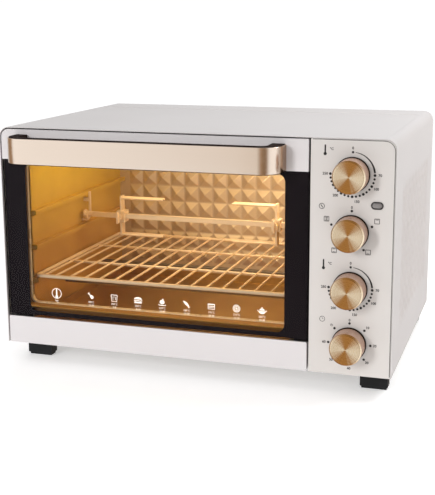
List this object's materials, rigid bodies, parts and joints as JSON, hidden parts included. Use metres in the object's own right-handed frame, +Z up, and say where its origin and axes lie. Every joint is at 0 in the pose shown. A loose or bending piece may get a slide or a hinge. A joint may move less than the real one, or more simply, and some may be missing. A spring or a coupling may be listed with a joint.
{
  "type": "rotisserie oven",
  "caption": "Worktop rotisserie oven with drop-down window door, broad metal handle, dial panel, wire rack, motor-driven spit and pull-out crumb tray.",
  "frame": {"origin": "under the middle of the oven, on the surface its feet stand on; the box includes the handle and the bulge of the rear cover", "axes": "+X along the width to the side with the dials, +Y from the door to the back, +Z up"},
  "size_m": [0.5, 0.4, 0.309],
  "materials": {
    "white_paint": "satin",
    "panel_paint": "satin",
    "rear_paint": "satin",
    "galvanised_steel": "satin",
    "frame_steel": "satin",
    "foot_rubber": "matte",
    "screw_steel": "polished",
    "black_plastic": "matte",
    "terminal_plastic": "matte",
    "cavity_gold": "satin",
    "heater_sheath": "satin",
    "ceramic": "gloss",
    "lamp_glass": "polished",
    "lamp_bezel": "polished",
    "pilot_lens": "gloss",
    "control_case": "matte",
    "rack_chrome": "polished",
    "shaft_steel": "satin",
    "door_glass": "polished",
    "black_print": "gloss",
    "gold_band": "satin",
    "tray_aluminium": "satin",
    "knob_copper": "satin",
    "knob_gold": "spun"
  },
  "bodies": {
    "oven_body": {"outer_shell": "white_paint", "back_cover": "rear_paint", "base_pan": "galvanised_steel", "front_frame": "frame_steel", "control_panel": "panel_paint", "control_bracket": "galvanised_steel", "feet": "foot_rubber", "foot_screws": "screw_steel", "casing_screws": "screw_steel", "cord_gland": "black_plastic", "terminal_block": "terminal_plastic", "cavity_left_wall": "cavity_gold", "cavity_right_wall": "cavity_gold", "cavity_back_wall": "cavity_gold", "cavity_top": "cavity_gold", "cavity_floor": "cavity_gold", "upper_heaters": "heater_sheath", "lower_heaters": "heater_sheath", "heater_insulators": "ceramic", "oven_lamp_lens": "lamp_glass", "oven_lamp_bulb": "lamp_glass", "oven_lamp_holder": "ceramic", "power_lamp_bezel": "lamp_bezel", "power_lamp_lens": "pilot_lens", "upper_thermostat": "control_case", "function_switch": "black_plastic", "lower_thermostat": "control_case", "timer": "control_case", "rotisserie_motor": "galvanised_steel", "spit_support": "rack_chrome"},
    "door": {"door_glass": "door_glass", "door_mask": "black_print", "door_inner_frame": "frame_steel", "door_top_trim": "white_paint", "handle_band": "gold_band", "handle_backing": "black_plastic", "handle_screws": "screw_steel", "hinge_pins": "screw_steel", "door_arms": "galvanised_steel"},
    "crumb_tray": {"crumb_tray": "tray_aluminium", "crumb_tray_front": "white_paint"},
    "rack": {"wire_rack": "rack_chrome"},
    "spit": {"drive_socket": "shaft_steel", "spit_rod": "rack_chrome"},
    "fork_left": {"fork_left": "rack_chrome"},
    "fork_right": {"fork_right": "rack_chrome"},
    "thumbscrew_left": {"thumbscrew_left": "rack_chrome"},
    "thumbscrew_right": {"thumbscrew_right": "rack_chrome"},
    "upper_knob": {"upper_knob_shaft": "shaft_steel", "upper_knob_body": "knob_copper", "upper_knob_cap": "knob_gold"},
    "function_knob": {"function_knob_shaft": "shaft_steel", "function_knob_body": "knob_copper", "function_knob_cap": "knob_gold"},
    "lower_knob": {"lower_knob_shaft": "shaft_steel", "lower_knob_body": "knob_copper", "lower_knob_cap": "knob_gold"},
    "timer_knob": {"timer_knob_shaft": "shaft_steel", "timer_knob_body": "knob_copper", "timer_knob_cap": "knob_gold"}
  },
  "joints": [
    {"name": "door_hinge", "type": "hinge", "parent": "oven_body", "child": "door", "pos_m": [-0.04925, -0.153, 0.075], "axis": [1, 0, 0], "range_deg": [0, 90]},
    {"name": "rack_slide", "type": "slide", "parent": "oven_body", "child": "rack", "axis": [0, -1, 0], "range_m": [0, 0.071]},
    {"name": "crumb_tray_slide", "type": "slide", "parent": "oven_body", "child": "crumb_tray", "axis": [0, -1, 0], "range_m": [0, 0.175]},
    {"name": "upper_knob_turn", "type": "hinge", "parent": "oven_body", "child": "upper_knob", "pos_m": [0.1997, -0.172, 0.2675], "axis": [0, 1, 0], "range_deg": [0, 270]},
    {"name": "function_knob_turn", "type": "hinge", "parent": "oven_body", "child": "function_knob", "pos_m": [0.1997, -0.172, 0.2005], "axis": [0, 1, 0], "range_deg": [0, 288]},
    {"name": "lower_knob_turn", "type": "hinge", "parent": "oven_body", "child": "lower_knob", "pos_m": [0.1997, -0.172, 0.1335], "axis": [0, 1, 0], "range_deg": [0, 270]},
    {"name": "timer_knob_turn", "type": "hinge", "parent": "oven_body", "child": "timer_knob", "pos_m": [0.1997, -0.172, 0.0665], "axis": [0, 1, 0], "range_deg": [-45, 270]},
    {"name": "spit_spin", "type": "hinge", "parent": "oven_body", "child": "spit", "pos_m": [-0.04, 0.013, 0.167], "axis": [1, 0, 0], "continuous": true},
    {"name": "fork_left_slide", "type": "slide", "parent": "spit", "child": "fork_left", "axis": [1, 0, 0], "range_m": [-0.03, 0.04]},
    {"name": "fork_right_slide", "type": "slide", "parent": "spit", "child": "fork_right", "axis": [1, 0, 0], "range_m": [-0.04, 0.03]},
    {"name": "thumbscrew_left_turn", "type": "hinge", "parent": "fork_left", "child": "thumbscrew_left", "pos_m": [-0.16, 0.003, 0.167], "axis": [0, 1, 0], "continuous": true},
    {"name": "thumbscrew_right_turn", "type": "hinge", "parent": "fork_right", "child": "thumbscrew_right", "pos_m": [0.066, 0.003, 0.167], "axis": [0, 1, 0], "continuous": true}
  ],
  "couplings": [
    {"joint": "rack_slide", "follows": "door_hinge", "m_per_rad": 0.045}
  ]
}
